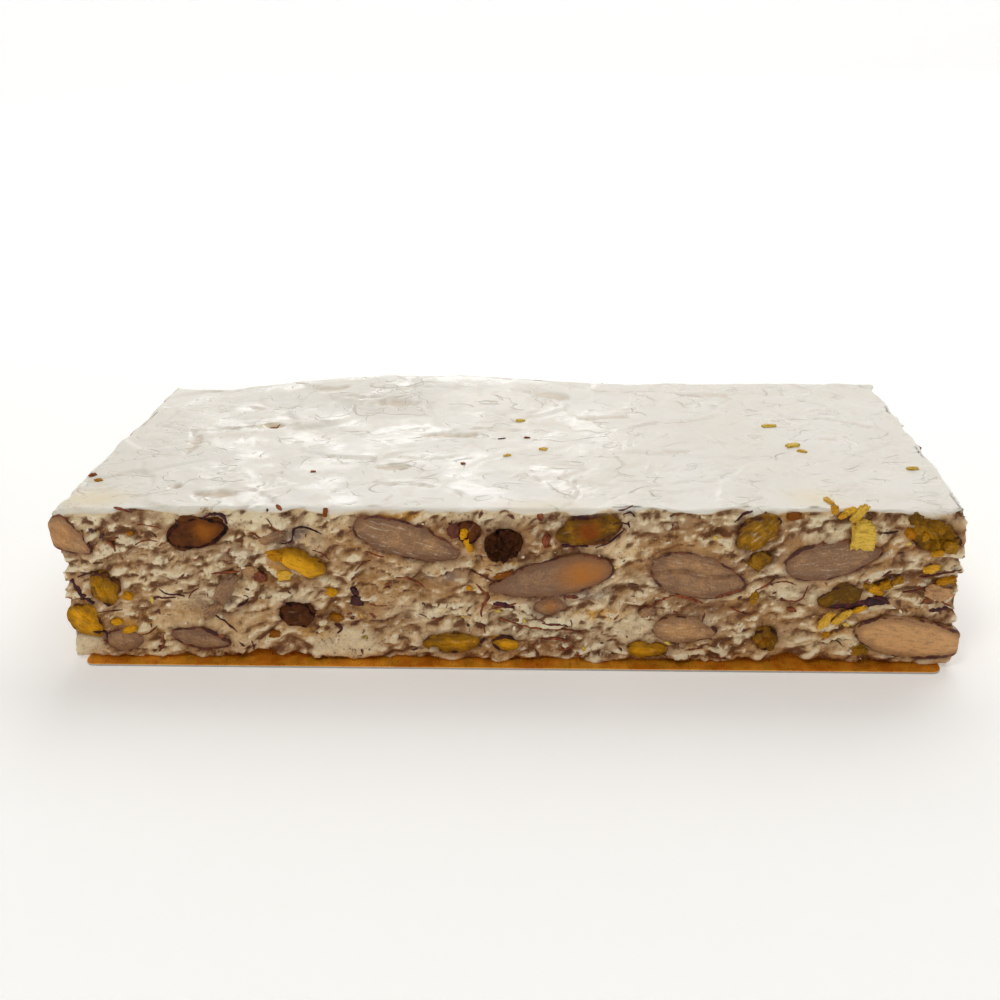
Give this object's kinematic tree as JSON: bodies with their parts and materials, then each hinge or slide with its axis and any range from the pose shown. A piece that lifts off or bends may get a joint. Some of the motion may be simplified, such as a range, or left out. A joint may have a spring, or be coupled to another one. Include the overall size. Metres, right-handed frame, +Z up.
{
  "type": "nougat bar",
  "caption": "Thick cut bar of soft white nougat with almonds and pistachios showing in its torn walls, a smooth glossy top skin and a thin gold card beneath.",
  "frame": {"origin": "middle of the gold card's underside, in the middle of the whole bar's footprint", "axes": "+X runs along the bar, -Y is the long wall that the picture shows, +Z is up through the smooth top skin"},
  "size_m": [0.1916, 0.091, 0.0389],
  "materials": {
    "nougat": "soft, torn on the walls and glossy on the top skin",
    "almond": "cut kernel with a brown skin rim",
    "pistachio": "cut kernel, waxy",
    "toasted_nut": "dark roasted kernel, rough",
    "gold_card": "gold foil on grey card"
  },
  "bodies": {
    "root": {"nougat": "nougat", "gold_card": "gold_card", "almond_front_01": "almond", "almond_front_02": "almond", "almond_front_03": "almond", "almond_front_04": "almond", "almond_front_05": "almond", "almond_front_06": "almond", "almond_front_07": "almond", "almond_front_08": "almond", "almond_front_09": "almond", "almond_front_10": "almond", "almond_left_01": "almond", "almond_left_02": "almond", "almond_right_01": "almond", "almond_right_02": "almond", "almond_back_01": "almond", "almond_back_02": "almond", "almond_back_03": "almond", "almond_back_04": "almond", "almond_back_05": "almond", "almond_back_06": "almond", "almond_back_07": "almond", "almond_back_08": "almond", "pistachio_front_01": "pistachio", "pistachio_front_02": "pistachio", "pistachio_front_03": "pistachio", "pistachio_front_04": "pistachio", "pistachio_front_05": "pistachio", "pistachio_front_06": "pistachio", "pistachio_front_07": "pistachio", "pistachio_front_08": "pistachio", "pistachio_front_09": "pistachio", "pistachio_front_10": "pistachio", "pistachio_front_11": "pistachio", "pistachio_left_01": "pistachio", "pistachio_left_02": "pistachio", "pistachio_left_03": "pistachio", "pistachio_right_01": "pistachio", "pistachio_right_02": "pistachio", "pistachio_right_03": "pistachio", "pistachio_back_01": "pistachio", "pistachio_back_02": "pistachio", "pistachio_back_03": "pistachio", "pistachio_back_04": "pistachio", "pistachio_back_05": "pistachio", "pistachio_back_06": "pistachio", "pistachio_back_07": "pistachio", "toasted_front_01": "toasted_nut", "toasted_front_02": "toasted_nut", "toasted_front_03": "toasted_nut", "toasted_front_04": "toasted_nut", "toasted_right_01": "toasted_nut", "toasted_back_01": "toasted_nut"}
  },
  "joints": []
}
